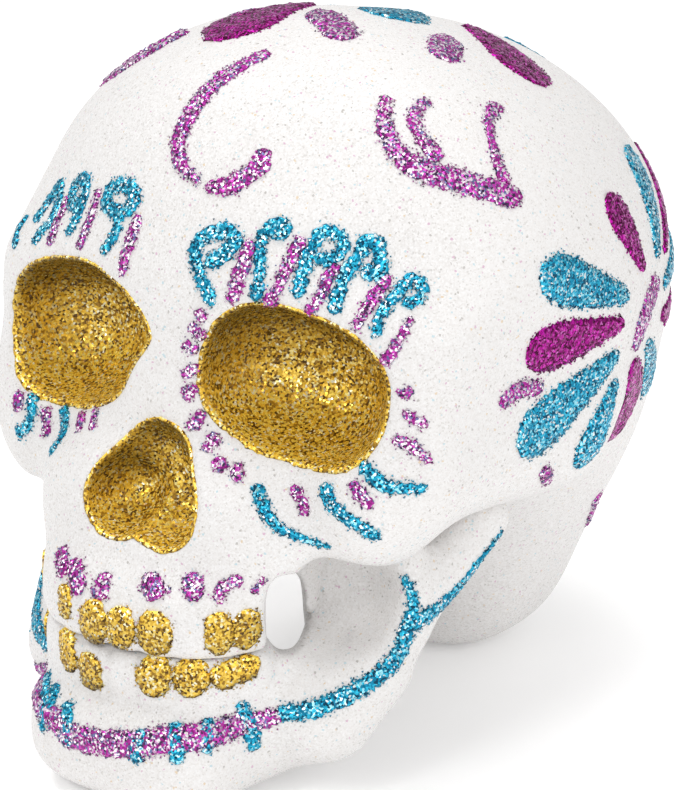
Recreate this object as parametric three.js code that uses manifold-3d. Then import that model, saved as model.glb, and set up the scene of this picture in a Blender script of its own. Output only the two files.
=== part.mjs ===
// A sugar skull: a foam skull in two mouldings, glued together at the bite and the jaw hinges, and
// decorated with glitter laid on in strokes of glue. Millimetres, +Z up. The face looks along -Y,
// +X is the skull's own left, and the skull stands on z = 0 on its chin and the back of its base.
import * as THREE from "three";
import { LoftGeometry } from "three/addons/geometries/LoftGeometry.js";
import { mergeVertices } from "three/addons/utils/BufferGeometryUtils.js";
import Module from "manifold-3d";

// Rounded forms that the skull moulding is blended from: at is the centre, half is the half width,
// half length and half height, and square is 2 for an ellipsoid and more for a boxier form.
const braincase = { at: [0, 9.5, 102], half: [72, 73, 58.5], square: 2 };
const forehead = { at: [0, -12.5, 110], half: [64, 39.5, 50], square: 2 };
const occiput = { at: [0, 39, 68], half: [51.5, 48.5, 48.5], square: 2 };
const baseLobe = { at: [0, 40, 40], half: [35.5, 28, 41.5], square: 2.6 };
const midFace = { at: [0, -39, 83], half: [49.5, 21, 32], square: 2.6 };
const brow = { at: [0, -33, 104], half: [64, 27, 14], square: 3 };
const cheekbone = { at: [45.5, -48.5, 71.5], half: [11, 14, 15], square: 2 };
const upperLip = { at: [0, -59.5, 60], half: [36, 21, 24], square: 2.4 };
const upperGum = { at: [0, -60, 45], half: [29.5, 27.5, 13], square: 3 };
const temple = { at: [84, -26, 94], half: [12, 26, 22], square: 2 };
const palate = { at: [0, -46, 36], half: [21, 28, 20], square: 2.6 };
// Rounded bars, from one end and its radius to the other.
const cheekArch = { from: [50, -40, 81.5], to: [55, 2, 77], radii: [14, 14] };
const noseBridge = { from: [0, -43.5, 112], to: [0, -59, 90], radii: [8, 6] };
// Forms that the jaw moulding is blended from.
const chin = { at: [0, -68.5, 13.2], half: [28, 25.2, 14], square: 3 };
const lowerGum = { at: [0, -60, 32], half: [29, 26.5, 11], square: 3 };
const mouth = { at: [0, -44, 28], half: [24, 26, 40], square: 2.6 };
const jawBody = { from: [37, -55, 20], to: [40, -45.5, 29.5], radii: [10.5, 11] };
const ramus = { from: [44, -37.5, 41], to: [52, -16.5, 58.5], radii: [8, 6] };
// The wall that closes the jaw's branch inwards, under the cheekbone.
const branchWall = { at: [38, -41, 46], half: [13, 9, 17], square: 2.6 };
// How widely one form runs into the next.
const crownBlend = 24;
const backBlend = 20;
const boneBlend = 14;
const archBlend = 16;
const browBlend = 12;
const lipBlend = 6;
const chinBlend = 8;
const jawBlend = 18;

// Openings of the face. The nose is an upside-down heart of a top and two lobes.
const eyeSocket = { at: [31.5, -66, 98.5], half: [23, 26, 16.7], square: 2.5 };
const socketTurnedOut = 13;
const socketDroop = 12.5;
const noseTop = { at: [0, -80, 77], half: [11.4, 17, 12.7], square: 2 };
const noseLobe = { at: [6.8, -80, 69.2], half: [8.4, 17, 8.5], square: 2.2 };
// A slot behind the last teeth, open right through into the mouth.
const cheekSlot = { at: [27.2, -58.7, 40.5], half: [3.9, 30, 9.2], square: 2.6 };
const cheekSlotTurn = 35.8;
const cheekSlotDip = 19.3;

// Teeth stand in two rows on one arch and meet at the bite.
const biteHeight = 38;
const archCentreY = -60;
const archHalfWidth = 29.5;
const archHalfLength = 26.5;
const toothAngles = [7.5, 22.8, 37.8, 52, 66];
const toothHalfWidth = 4.6;
const toothHalfDepth = 2.8;
const toothHalfHeight = 5.2;
const toothSquare = 3;
const archSpare = 4;

// Fits. Each glue line and each layer of glitter glue keeps its own clearance.
const glueGap = 0.3;
const coatGap = 0.3;
const coatThickness = 0.8;

// Fineness of the faceted solids.
const wrapDetail = 9;
const jawStations = 28;
const jawSides = 12;
const socketSides = 18;
const noseSides = 12;
const wallSides = 14;
const toothSides = 8;

// Colours of the foam's white glitter coat and of the glitters laid over it.
const white = { color: 0xf3f1ec, roughness: 0.8, metalness: 0 };
const gold = { color: 0xb98a1e, roughness: 0.45, metalness: 0.7 };
const turquoise = { color: 0x2ba0c2, roughness: 0.5, metalness: 0.3 };
const magenta = { color: 0x9a1c80, roughness: 0.5, metalness: 0.3 };
const purple = { color: 0x8c5f9f, roughness: 0.5, metalness: 0.3 };

// Decoration. Strokes on the skull run through [longitude, latitude] in degrees about its core, from
// the middle of the face towards the skull's left; on the crown through [x, y]; on the jaw and teeth
// through [angle, height] about an upright axis inside the jaw. Half is half the stroke's width.
const core = new THREE.Vector3(0, 0, 90);
const jawAxisY = -45;
const sideFlowerHeart = { path: [[112, 13], [105.5, 7.5], [102.5, 2.5]], half: 2.2, coat: purple };
const sideFlowerPetals = [
  { outer: [126, 33], inner: [113.5, 16.5], half: 3.4, coat: turquoise },
  { outer: [101, 30.5], inner: [106, 16.5], half: 3.9, coat: magenta },
  { outer: [75, 23.5], inner: [98.5, 14], half: 5.8, coat: turquoise },
  { outer: [71, 9.5], inner: [97, 9.5], half: 5.8, coat: magenta },
  { outer: [72, -7], inner: [96, 4], half: 6, coat: turquoise },
  { outer: [88, -16], inner: [96.5, -1], half: 4, coat: turquoise },
  { outer: [113, -19], inner: [104, -1], half: 4.4, coat: magenta },
  { outer: [130, -13], inner: [109, 2], half: 4, coat: turquoise },
  { outer: [138, 1], inner: [113.5, 6], half: 4.4, coat: magenta },
  { outer: [138, 15], inner: [116, 11], half: 4.4, coat: turquoise },
  { outer: [135, 27], inner: [117, 15], half: 4, coat: magenta },
];
const crownPetals = [
  { outer: [41, 26], inner: [18, 22], half: 5.4, coat: magenta },
  { outer: [13, 5], inner: [4, 20], half: 6.6, coat: turquoise },
  { outer: [-28, -16], inner: [-9, 2], half: 6.2, coat: magenta },
  { outer: [-41, 26], inner: [-18, 22], half: 5.4, coat: turquoise },
  { outer: [-22, 55], inner: [-8, 36], half: 5.4, coat: magenta },
  { outer: [22, 55], inner: [8, 36], half: 5.4, coat: turquoise },
];
const crownDots = [[5, -10], [28, 3], [-32, 6]];
const crownDotHalf = 3.4;
const crownDotLength = 8;
const middleScroll = [
  [-0.5, 69.5], [-6.5, 65.5], [-11, 60.5], [-12.5, 55], [-11.5, 50], [-9.5, 46.5], [-5, 43.5],
  [1.5, 41.5], [9.5, 42], [13.5, 44.5], [16.5, 47.5],
];
const sideScrolls = [
  [[51, 59], [48.5, 54], [49.5, 49], [51.5, 45.5], [55, 42.5], [60.5, 40.5], [66, 39], [73, 36.5]],
  [[63, 56], [58.5, 55], [56.5, 51.5], [57.5, 48], [59.5, 44], [60, 41.5]],
  [[85.5, 53], [77, 50.5], [74.5, 47], [72.5, 42.5], [71.5, 38.5]],
];
const scrollHalf = 1.9;
// Each lash is a stem with an open loop at its top, drawn from its foot.
const lashes = {
  left: [
    [[11, 20.5], [8, 24.5], [5.5, 28], [5, 31], [7.5, 33], [12, 34], [13.5, 32], [12.5, 30.5]],
    [[19.5, 22], [20, 27.5], [19.5, 30], [19.5, 33.5], [21.5, 36], [24, 36], [26, 33.5], [25, 31.5]],
    [[27.5, 23], [29, 27.5], [29.5, 31], [32, 34], [34.5, 34.5], [37, 33], [36.5, 30.5]],
    [[34.5, 20.5], [36, 24], [37.5, 27.5], [39.5, 30.5], [41.5, 33], [43.5, 32], [44, 29.5]],
    [[42, 16.5], [42.5, 19.5], [44.5, 22], [47, 24], [49.5, 26], [51, 24.5], [50, 22]],
  ],
  right: [
    [[-19, 24], [-17.5, 28.5], [-18.5, 32], [-22.5, 34], [-21.5, 37], [-17.5, 37], [-15.5, 35]],
    [[-31.5, 24], [-31.5, 27.5], [-32.5, 31], [-35, 34], [-38, 32.5], [-37, 29.5]],
    [[-40.5, 19], [-40.5, 21], [-40, 25], [-44, 29], [-46, 25], [-46, 21.5]],
    [[-46.5, 17.5], [-49, 19], [-51, 21.5]],
  ],
};
const lashHalf = 1.4;
// The chin band runs through [angle, drop below the bite].
const chinBand = {
  path: [
    [-48, 14.5], [-36, 16], [-22.5, 18], [-14.5, 19], [-7, 21], [1, 21], [13, 19], [22, 17], [37.5, 16], [52, 14.5],
  ],
  half: 2.9,
};
const jawLine = {
  main: [[57.5, 24.2], [69.5, 26.5], [78, 29.5], [84.5, 33], [88, 38], [95.5, 43], [104.5, 45.5], [110, 49]],
  fork: [[87.5, 37], [89, 43], [88.5, 48]],
  half: 2,
};
// Runs of teeth that carry gold, as the first and last tooth on the arch; negative is the skull's right.
const goldTeeth = [
  { name: "upper_front", row: 1, from: -1, to: 2 },
  { name: "upper_left", row: 1, from: 4, to: 5 },
  { name: "upper_right", row: 1, from: -5, to: -4 },
  { name: "lower_front", row: -1, from: -2, to: -1 },
  { name: "lower_left", row: -1, from: 2, to: 4 },
  { name: "lower_right", row: -1, from: -5, to: -4 },
];
const goldHalf = 3.9;

const wasm = await Module();
wasm.setup();

// Blended forms as distance fields: below zero is inside

// The union of two distances with a fillet as wide as the blend.
function join(a, b, blend) {
  const overlap = Math.max(blend - Math.abs(a - b), 0) / blend;
  return Math.min(a, b) - (overlap * overlap * blend) / 4;
}

// The first distance with the second cut away, rounded by the blend.
function carve(a, b, blend) {
  return -join(-a, b, blend);
}

function blob(p, form) {
  const share = [0, 1, 2].map((i) => Math.abs(p[i] - form.at[i]) / form.half[i]);
  const sum = share.reduce((total, q) => total + q ** form.square, 1e-12);
  const size = sum ** (1 / form.square);
  const slope = share.map((q, i) => (q ** (form.square - 1) * sum ** (1 / form.square - 1)) / form.half[i]);
  return (size - 1) / Math.max(Math.hypot(...slope), 1e-9);
}

function bar(p, form) {
  const along = form.to.map((v, i) => v - form.from[i]);
  const reach = p.map((v, i) => v - form.from[i]);
  const dot = (a, b) => a[0] * b[0] + a[1] * b[1] + a[2] * b[2];
  const t = Math.min(Math.max(dot(reach, along) / dot(along, along), 0), 1);
  const radius = form.radii[0] + (form.radii[1] - form.radii[0]) * t;
  return Math.hypot(...reach.map((v, i) => v - t * along[i])) - radius;
}

function skullField(x, y, z) {
  const p = [Math.abs(x), y, z];
  let head = join(blob(p, braincase), blob(p, forehead), crownBlend);
  head = join(head, blob(p, occiput), backBlend);
  head = join(head, blob(p, baseLobe), boneBlend);
  let face = join(blob(p, midFace), blob(p, upperLip), boneBlend);
  face = join(face, blob(p, upperGum), lipBlend);
  face = join(face, blob(p, cheekbone), boneBlend);
  face = join(face, bar(p, cheekArch), archBlend);
  face = join(face, blob(p, brow), browBlend);
  head = join(head, face, boneBlend);
  head = join(head, bar(p, noseBridge), browBlend);
  return carve(head, blob(p, temple), archBlend);
}

// The jaw without its branch walls, which are solids of their own that join it.
function jawBow(x, y, z) {
  const p = [Math.abs(x), y, z];
  let jaw = join(blob(p, chin), blob(p, lowerGum), chinBlend);
  jaw = join(jaw, bar(p, jawBody), jawBlend);
  jaw = join(jaw, bar(p, ramus), chinBlend);
  return carve(jaw, blob(p, mouth), lipBlend);
}

function jawField(x, y, z) {
  return Math.min(jawBow(x, y, z), blob([Math.abs(x), y, z], branchWall));
}

// How far along a ray from a point inside the field it first rises to a level.
function reachOut(field, from, direction, level) {
  const step = 1.5;
  const farthest = 300;
  const at = (t) => field(from.x + direction.x * t, from.y + direction.y * t, from.z + direction.z * t) - level;
  let inside = 0;
  while (inside < farthest && at(inside + step) < 0) inside += step;
  let outside = inside + step;
  for (let i = 0; i < 24; i++) {
    const middle = (inside + outside) / 2;
    if (at(middle) < 0) inside = middle;
    else outside = middle;
  }
  return inside;
}

function normalOf(field, p) {
  const e = 0.2;
  return new THREE.Vector3(
    field(p.x + e, p.y, p.z) - field(p.x - e, p.y, p.z),
    field(p.x, p.y + e, p.z) - field(p.x, p.y - e, p.z),
    field(p.x, p.y, p.z + e) - field(p.x, p.y, p.z - e),
  ).normalize();
}

// Solids from geometry, and back

function merged(geometry) {
  const plain = new THREE.BufferGeometry().copy(geometry);
  plain.deleteAttribute("normal");
  plain.deleteAttribute("uv");
  return mergeVertices(plain, 1e-4);
}

function solid(geometry) {
  const closed = merged(geometry);
  const vertProperties = new Float32Array(closed.attributes.position.array);
  const triVerts = new Uint32Array(closed.index.array);
  return new wasm.Manifold(new wasm.Mesh({ numProp: 3, vertProperties, triVerts }));
}

function geometryOf(made) {
  const mesh = made.getMesh();
  const geometry = new THREE.BufferGeometry();
  geometry.setAttribute("position", new THREE.BufferAttribute(new Float32Array(mesh.vertProperties), 3));
  geometry.setIndex(new THREE.BufferAttribute(new Uint32Array(mesh.triVerts), 1));
  geometry.computeVertexNormals();
  return geometry;
}

// A squared-off ball with the given half sizes, placed by a matrix.
function ball(half, square, matrix, sides) {
  const geometry = merged(new THREE.SphereGeometry(1, sides, Math.round(sides * 0.6)));
  const position = geometry.attributes.position;
  for (let i = 0; i < position.count; i++) {
    const v = new THREE.Vector3().fromBufferAttribute(position, i);
    const power = Math.abs(v.x) ** square + Math.abs(v.y) ** square + Math.abs(v.z) ** square;
    v.multiplyScalar(power ** (-1 / square));
    position.setXYZ(i, v.x * half[0], v.y * half[1], v.z * half[2]);
  }
  return solid(geometry.applyMatrix4(matrix));
}

const radians = THREE.MathUtils.degToRad;
const upright = new THREE.Vector3(0, 0, 1);

// The skull's outer skin at a level of its field: a fine ball drawn in from its core onto the blend.
function wrapSkull(level) {
  const geometry = merged(new THREE.IcosahedronGeometry(1, wrapDetail));
  const position = geometry.attributes.position;
  for (let i = 0; i < position.count; i++) {
    const direction = new THREE.Vector3().fromBufferAttribute(position, i).normalize();
    const p = direction.clone().multiplyScalar(reachOut(skullField, core, direction, level)).add(core);
    position.setXYZ(i, p.x, p.y, p.z);
  }
  return solid(geometry);
}

// The jaw's skin at a level of its field: sections along its spine, from one hinge round the chin to the other.
function wrapJaw(level) {
  const bodyMiddle = jawBody.from.map((v, i) => (v + jawBody.to[i]) / 2);
  const hinge = new THREE.Vector3(...ramus.to);
  const hingeTip = hinge.clone().sub(new THREE.Vector3(...ramus.from)).setLength(ramus.radii[1] * 0.7).add(hinge);
  const frontY = (chin.at[1] - chin.half[1] + mouth.at[1] - mouth.half[1]) / 2;
  const cornerY = frontY + chin.half[1] * 0.25;
  const left = [
    new THREE.Vector3(0, frontY, chin.at[2] + 2),
    new THREE.Vector3(chin.half[0] * 0.7, cornerY, chin.at[2] + 2),
    new THREE.Vector3(chin.half[0] + 4, (cornerY + bodyMiddle[1]) / 2, chin.at[2] + 4),
    new THREE.Vector3(...bodyMiddle),
    new THREE.Vector3(...ramus.from),
    hingeTip,
  ];
  const right = left.slice(1).reverse().map((p) => new THREE.Vector3(-p.x, p.y, p.z));
  const spine = new THREE.CatmullRomCurve3([...right, ...left], false, "centripetal");
  const sections = [];
  for (let i = 0; i <= jawStations; i++) {
    const from = spine.getPointAt(i / jawStations);
    const along = spine.getTangentAt(i / jawStations);
    const side = new THREE.Vector3().crossVectors(along, upright).normalize();
    const rise = new THREE.Vector3().crossVectors(side, along);
    const section = [];
    for (let k = 0; k < jawSides; k++) {
      const angle = (k / jawSides) * Math.PI * 2;
      const direction = side.clone().multiplyScalar(Math.cos(angle)).addScaledVector(rise, Math.sin(angle));
      section.push(direction.clone().multiplyScalar(reachOut(jawBow, from, direction, level)).add(from));
    }
    sections.push(section.reverse());
  }
  return solid(new LoftGeometry(sections, { capStart: true, capEnd: true }));
}

function makeBranchWall(side, grow) {
  const [x, y, z] = branchWall.at;
  const place = new THREE.Matrix4().setPosition(side * x, y, z);
  return ball(branchWall.half.map((v) => v + grow), branchWall.square, place, wallSides);
}

// One row of teeth on the arch: row is 1 for the upper teeth and -1 for the lower.
function toothRow(row, grow) {
  const height = biteHeight + row * (toothHalfHeight + glueGap);
  const half = [toothHalfWidth + grow, toothHalfDepth + grow, toothHalfHeight + grow];
  const teeth = [];
  for (const side of [1, -1]) {
    for (const angle of toothAngles) {
      const a = radians(side * angle);
      const facing = Math.atan2(Math.sin(a) * archHalfLength, Math.cos(a) * archHalfWidth);
      const place = new THREE.Matrix4().makeRotationZ(facing);
      place.setPosition(archHalfWidth * Math.sin(a), archCentreY - archHalfLength * Math.cos(a), height);
      teeth.push(ball(half, toothSquare, place, toothSides));
    }
  }
  return teeth.reduce((all, tooth) => all.add(tooth));
}

function socketCutter(side, shrink) {
  const turn = new THREE.Euler(0, radians(side * socketDroop), radians(side * socketTurnedOut), "ZXY");
  const place = new THREE.Matrix4().makeRotationFromEuler(turn);
  place.setPosition(side * eyeSocket.at[0], eyeSocket.at[1], eyeSocket.at[2]);
  return ball(eyeSocket.half.map((v) => v - shrink), eyeSocket.square, place, socketSides);
}

function noseCutter(shrink) {
  const piece = (form, side) => {
    const place = new THREE.Matrix4().setPosition(side * form.at[0], form.at[1], form.at[2]);
    return ball(form.half.map((v) => v - shrink), form.square, place, noseSides);
  };
  return piece(noseTop, 1).add(piece(noseLobe, 1)).add(piece(noseLobe, -1));
}

function slotCutter(side) {
  const turn = new THREE.Euler(radians(-cheekSlotDip), 0, radians(side * cheekSlotTurn), "ZXY");
  const place = new THREE.Matrix4().makeRotationFromEuler(turn);
  place.setPosition(side * cheekSlot.at[0], cheekSlot.at[1], cheekSlot.at[2]);
  return ball(cheekSlot.half, cheekSlot.square, place, noseSides);
}

// The room inside the lips between two heights, a little wider than the arch of teeth.
function archPlug(bottom, top) {
  const wide = archHalfWidth + toothHalfDepth + archSpare;
  const long = archHalfLength + toothHalfDepth + archSpare;
  const plug = new THREE.CylinderGeometry(1, 1, top - bottom, 40).rotateX(Math.PI / 2);
  return solid(plug.scale(wide, long, 1).translate(0, archCentreY, (top + bottom) / 2));
}

// Everything below the surface that the skull stands on.
function underfoot() {
  const depth = 40;
  const slab = new THREE.BoxGeometry(400, 400, depth);
  return solid(slab.translate(0, 0, -depth / 2));
}

// Strokes of glitter

function onSkull([longitude, latitude]) {
  const lon = radians(longitude);
  const lat = radians(latitude);
  const direction = new THREE.Vector3(
    Math.sin(lon) * Math.cos(lat),
    -Math.cos(lon) * Math.cos(lat),
    Math.sin(lat),
  );
  const p = direction.clone().multiplyScalar(reachOut(skullField, core, direction, 0)).add(core);
  return { p, normal: normalOf(skullField, p) };
}

function onCrown([x, y]) {
  const from = new THREE.Vector3(x, y, core.z);
  const p = upright.clone().multiplyScalar(reachOut(skullField, from, upright, 0)).add(from);
  return { p, normal: normalOf(skullField, p) };
}

// Onto the outside of the jaw or of the gums, coming in from outside towards the upright axis.
function onDrum(field) {
  const farOut = 150;
  const emptiness = (x, y, z) => -field(x, y, z);
  return ([angle, height]) => {
    const a = radians(angle);
    const inward = new THREE.Vector3(-Math.sin(a), Math.cos(a), 0);
    const from = new THREE.Vector3(0, jawAxisY, height).addScaledVector(inward, -farOut);
    const p = inward.clone().multiplyScalar(reachOut(emptiness, from, inward, 0)).add(from);
    return { p, normal: normalOf(field, p) };
  };
}

// A brush mark keeps its width and has round ends.
function brush(half) {
  return (s, length) => {
    const end = Math.min(s, length - s);
    return end >= half ? half : half * Math.sqrt(Math.max(0.15, 1 - ((half - end) / half) ** 2));
  };
}

// A petal is round and wide at its outer end and tapers to its inner tip.
function petal(half) {
  const shoulder = 0.3;
  return (s, length) => {
    const t = s / length;
    const wide = t < shoulder ? Math.sqrt(1 - ((shoulder - t) / shoulder) ** 2) : 1 - (0.78 * (t - shoulder)) / (1 - shoulder);
    return half * Math.max(wide, 0.3);
  };
}

// A bar along a stroke that reaches through the coat, out from the surface and into it. Its sections
// stand closer together towards the ends, where the width changes.
function strokeSolid(place, path, widthAt, out = 3, into = 3) {
  const guide = new THREE.CatmullRomCurve3(path.map(([a, b]) => new THREE.Vector3(a, b, 0)), false, "centripetal");
  const fine = guide.getPoints(path.length * 12).map((g) => place([g.x, g.y]).p);
  const line = new THREE.CatmullRomCurve3(fine, false, "centripetal");
  const length = line.getLength();
  const count = Math.max(5, Math.ceil(length / 6));
  const sections = [];
  for (let i = 0; i <= count; i++) {
    const share = (1 - Math.cos((Math.PI * i) / count)) / 2;
    const centre = line.getPointAt(share);
    const g = guide.getPoint(line.getUtoTmapping(share));
    const normal = place([g.x, g.y]).normal;
    const side = new THREE.Vector3().crossVectors(line.getTangentAt(share), normal).normalize();
    const half = widthAt(length * share, length);
    const corner = (across, up) => centre.clone().addScaledVector(side, across * half).addScaledVector(normal, up);
    sections.push([corner(-1, -into), corner(-1, out), corner(1, out), corner(1, -into)]);
  }
  return solid(new LoftGeometry(sections, { capStart: true, capEnd: true }));
}

// Foam mouldings and the thin shells that coats are cut from

const ground = underfoot();
function wholeJaw(grow) {
  return [1, -1].reduce((jaw, side) => jaw.add(makeBranchWall(side, grow)), wrapJaw(grow));
}
const aboveBite = archPlug(biteHeight - glueGap / 2, biteHeight + 30);
const belowBite = archPlug(biteHeight - 30, biteHeight + glueGap / 2);
const skullSkin = wrapSkull(0);
const palateCutter = ball(palate.half, palate.square, new THREE.Matrix4().setPosition(...palate.at), noseSides);
const slots = slotCutter(1).add(slotCutter(-1));
const jawSolid = wholeJaw(0).subtract(aboveBite).add(toothRow(-1, 0)).subtract(slots).subtract(ground);

function makeSkull() {
  const cutters = [socketCutter(1, 0), socketCutter(-1, 0), noseCutter(0), palateCutter, wholeJaw(glueGap), slots, ground];
  let skull = skullSkin.add(toothRow(1, 0));
  for (const cutter of cutters) skull = skull.subtract(cutter);
  return skull.subtract(belowBite);
}

function coatShell(skin) {
  return skin(coatGap + coatThickness).subtract(skin(coatGap));
}
const skullShell = coatShell((grow) => wrapSkull(grow).add(toothRow(1, grow)));
const jawShell = coatShell((grow) => wholeJaw(grow).add(toothRow(-1, grow)));

const sugarSkull = new THREE.Group();

function addPiece(name, made, finish) {
  const mesh = new THREE.Mesh(geometryOf(made), new THREE.MeshStandardMaterial(finish));
  mesh.name = name;
  sugarSkull.add(mesh);
}

// The coat that strokes leave on a moulding. Crumbs in the folds between teeth aren't part of it.
function addStrokes(name, strokes, finish, shell) {
  const bars = strokes.reduce((all, stroke) => all.add(stroke));
  const bodies = shell.intersect(bars).decompose();
  const coat = bodies.reduce((best, body) => (body.volume() > best.volume() ? body : best));
  addPiece(name, coat, finish);
}

function mirrored(path, side) {
  return path.map(([a, b]) => [side * a, b]);
}

const sides = [
  { name: "left", sign: 1 },
  { name: "right", sign: -1 },
];

// Foam
addPiece("skull", makeSkull(), white);
addPiece("jaw", jawSolid, white);

// Gold glitter lines the sockets and the nose
for (const { name, sign } of sides) {
  const lining = socketCutter(sign, coatGap).subtract(socketCutter(sign, coatGap + coatThickness));
  addPiece("socket_lining_" + name, lining.intersect(skullSkin), gold);
}
addPiece("nose_lining", noseCutter(coatGap).subtract(noseCutter(coatGap + coatThickness)).intersect(skullSkin), gold);

// Gold dabs on runs of teeth
function toothAngle(number) {
  const a = radians(toothAngles[Math.abs(number) - 1]);
  const forward = jawAxisY - archCentreY + archHalfLength * Math.cos(a);
  return Math.sign(number) * THREE.MathUtils.radToDeg(Math.atan2(archHalfWidth * Math.sin(a), forward));
}
for (const { name, row, from, to } of goldTeeth) {
  const height = biteHeight + row * (toothHalfHeight + glueGap);
  const spare = 3.6;
  const path = [[toothAngle(from) - spare, height], [toothAngle(to) + spare, height]];
  const drum = onDrum(row > 0 ? skullField : jawField);
  const dab = strokeSolid(drum, path, brush(goldHalf), toothHalfDepth * 2, toothHalfDepth / 2);
  addStrokes("tooth_gold_" + name, [dab], gold, row > 0 ? skullShell : jawShell);
}

// Turquoise jaw lines and the purple chin band
for (const { name, sign } of sides) {
  const lines = [jawLine.main, jawLine.fork].map((path) =>
    strokeSolid(onDrum(jawField), mirrored(path, sign), brush(jawLine.half)),
  );
  addStrokes("jaw_line_" + name, lines, turquoise, jawShell);
}
const chinPath = chinBand.path.map(([angle, drop]) => [angle, biteHeight - drop]);
addStrokes("chin_band", [strokeSolid(onDrum(jawField), chinPath, brush(chinBand.half))], purple, jawShell);

// Purple scrolls on the forehead
addStrokes("scroll_middle", [strokeSolid(onSkull, middleScroll, brush(scrollHalf))], purple, skullShell);
for (const { name, sign } of sides) {
  const scroll = sideScrolls.map((path) => strokeSolid(onSkull, mirrored(path, sign), brush(scrollHalf)));
  addStrokes("scroll_" + name, scroll, purple, skullShell);
}

// Flower on the crown
crownPetals.forEach(({ outer, inner, half, coat }, i) => {
  addStrokes("crown_petal_" + (i + 1), [strokeSolid(onCrown, [outer, inner], petal(half))], coat, skullShell);
});
crownDots.forEach(([x, y], i) => {
  const path = [[x - crownDotLength / 2, y], [x + crownDotLength / 2, y]];
  addStrokes("crown_dot_" + (i + 1), [strokeSolid(onCrown, path, brush(crownDotHalf))], purple, skullShell);
});

// Flowers on the temples
for (const { name, sign } of sides) {
  const heart = strokeSolid(onSkull, mirrored(sideFlowerHeart.path, sign), brush(sideFlowerHeart.half));
  addStrokes("flower_" + name + "_heart", [heart], sideFlowerHeart.coat, skullShell);
  sideFlowerPetals.forEach(({ outer, inner, half, coat }, i) => {
    const blade = strokeSolid(onSkull, mirrored([outer, inner], sign), petal(half));
    addStrokes("flower_" + name + "_petal_" + (i + 1), [blade], coat, skullShell);
  });
}

// Turquoise lashes over the sockets
for (const { name } of sides) {
  lashes[name].forEach((path, i) => {
    addStrokes("lash_" + name + "_" + (i + 1), [strokeSolid(onSkull, path, brush(lashHalf))], turquoise, skullShell);
  });
}

// Stands with its length centred over the origin
const middle = new THREE.Box3().setFromObject(sugarSkull).getCenter(new THREE.Vector3());
for (const piece of sugarSkull.children) piece.geometry.translate(0, -middle.y, 0);

export default sugarSkull;
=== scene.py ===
import math

import bpy
import numpy as np
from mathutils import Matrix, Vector


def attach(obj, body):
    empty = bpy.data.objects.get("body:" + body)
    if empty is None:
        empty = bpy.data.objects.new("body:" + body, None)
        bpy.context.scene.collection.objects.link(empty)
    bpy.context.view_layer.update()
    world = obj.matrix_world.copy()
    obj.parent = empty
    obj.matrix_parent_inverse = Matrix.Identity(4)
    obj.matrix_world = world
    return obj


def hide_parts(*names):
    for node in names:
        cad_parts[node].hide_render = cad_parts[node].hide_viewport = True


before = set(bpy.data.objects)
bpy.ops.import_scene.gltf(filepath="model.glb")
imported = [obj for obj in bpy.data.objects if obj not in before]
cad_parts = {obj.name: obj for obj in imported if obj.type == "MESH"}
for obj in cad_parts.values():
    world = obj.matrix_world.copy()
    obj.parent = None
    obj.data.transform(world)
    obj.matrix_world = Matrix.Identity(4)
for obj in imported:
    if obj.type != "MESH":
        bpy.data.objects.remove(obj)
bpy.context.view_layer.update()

# Skull moulding. White polystyrene foam in one piece with its upper teeth, eye sockets and nose, brushed
# with glue and rolled in fine white glitter with a few stray coloured flakes. Sizes are millimetres, the face
# looks along -Y, and the left half is mirrored, apart from the right socket's corner and the nose's offset.
metres_per_mm = 0.001
ahead = 2.97
foam_cell = 1.35
skull_room = ((-78, -96, -3), (78, 94, 170))
left_to_right = np.array([-1, 1, 1])
braincase = ((0, 9.5, 102), (72, 73, 58.5))
forehead = ((0, -12.5, 110), (64, 39.5, 50))
back_of_head = ((0, 39, 68), (51.5, 48.5, 48.5))
skull_base = ((0, 40, 40), (35.5, 28, 41.5), 2.6)
mid_face = ((0, -39, 83), (49.5, 21, 32), 2.6)
upper_lip = ((0, -59.5, 60), (36, 21, 24), 2.4)
upper_gum = ((0, -60, 45), (29.5, 27.5, 13), 3)
cheekbone = ((45.5, -48.5, 71.5), (11, 14, 15))
cheek_arch = ((50, -40, 81.5), (55, 2, 77), 14, 14)
brow = ((0, -33, 104), (64, 27, 14), 3)
nose_bridge = ((0, -43.5, 112), (0, -59, 90), 8, 6)
temple_hollow = ((84, -26, 94), (12, 26, 22))
palate = ((0, -46, 36), (21, 28, 20), 2.6)
blend_into_crown = 24
blend_of_back = 20
blend_of_arch = 16
blend_of_bone = 14
blend_of_brow = 12
blend_of_gum = 6
blend_of_teeth = 1.5
edge_of_socket = 3
edge_of_nose = 2
edge_of_pocket = 7
edge_of_slot = 2
edge_of_palate = 4
edge_of_bite = 1
socket_centre = (32.5, -66, 98.5)
socket_shape = ((0, 0, 0), (22, 26, 16.7), 2.5)
socket_turn = math.radians(13)
socket_droop = math.radians(12.5)
right_corner = ((-14, -67, 104.5), (10, 14, 8), 1.5)
blend_of_corner = 5
nose_top = ((0, -80, 76.9), (11.4, 17, 12.7))
nose_lobe = ((6.8, -80, 69.2), (8.4, 17, 8.5), 2.2)
nose_aside = np.array([1.4, 0, 0])
blend_of_lobes = 5
slot_centre = (26.9, -58.2, 43.3)
slot_shape = ((0, 0, 0), (4.3, 30, 9.2), 2.5)
slot_turn = math.radians(35.8)
slot_dip = math.radians(19.3)
pocket = ((38, -53, 47), (12, 13, 11))
bite_height = 38
bite_gap = 0.15
arch_middle = -60
arch_half_width = 29.5
arch_half_length = 26.5
arch_margin = 7
arch_reach = 32
tooth_angles = (7.5, 22.8, 37.8, 52, 66)
tooth_shape = ((0, 0, 0), (4.6, 2.8, 5.2), 3)
upper_tooth_height = 43.5
far_away = 1e3


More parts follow.
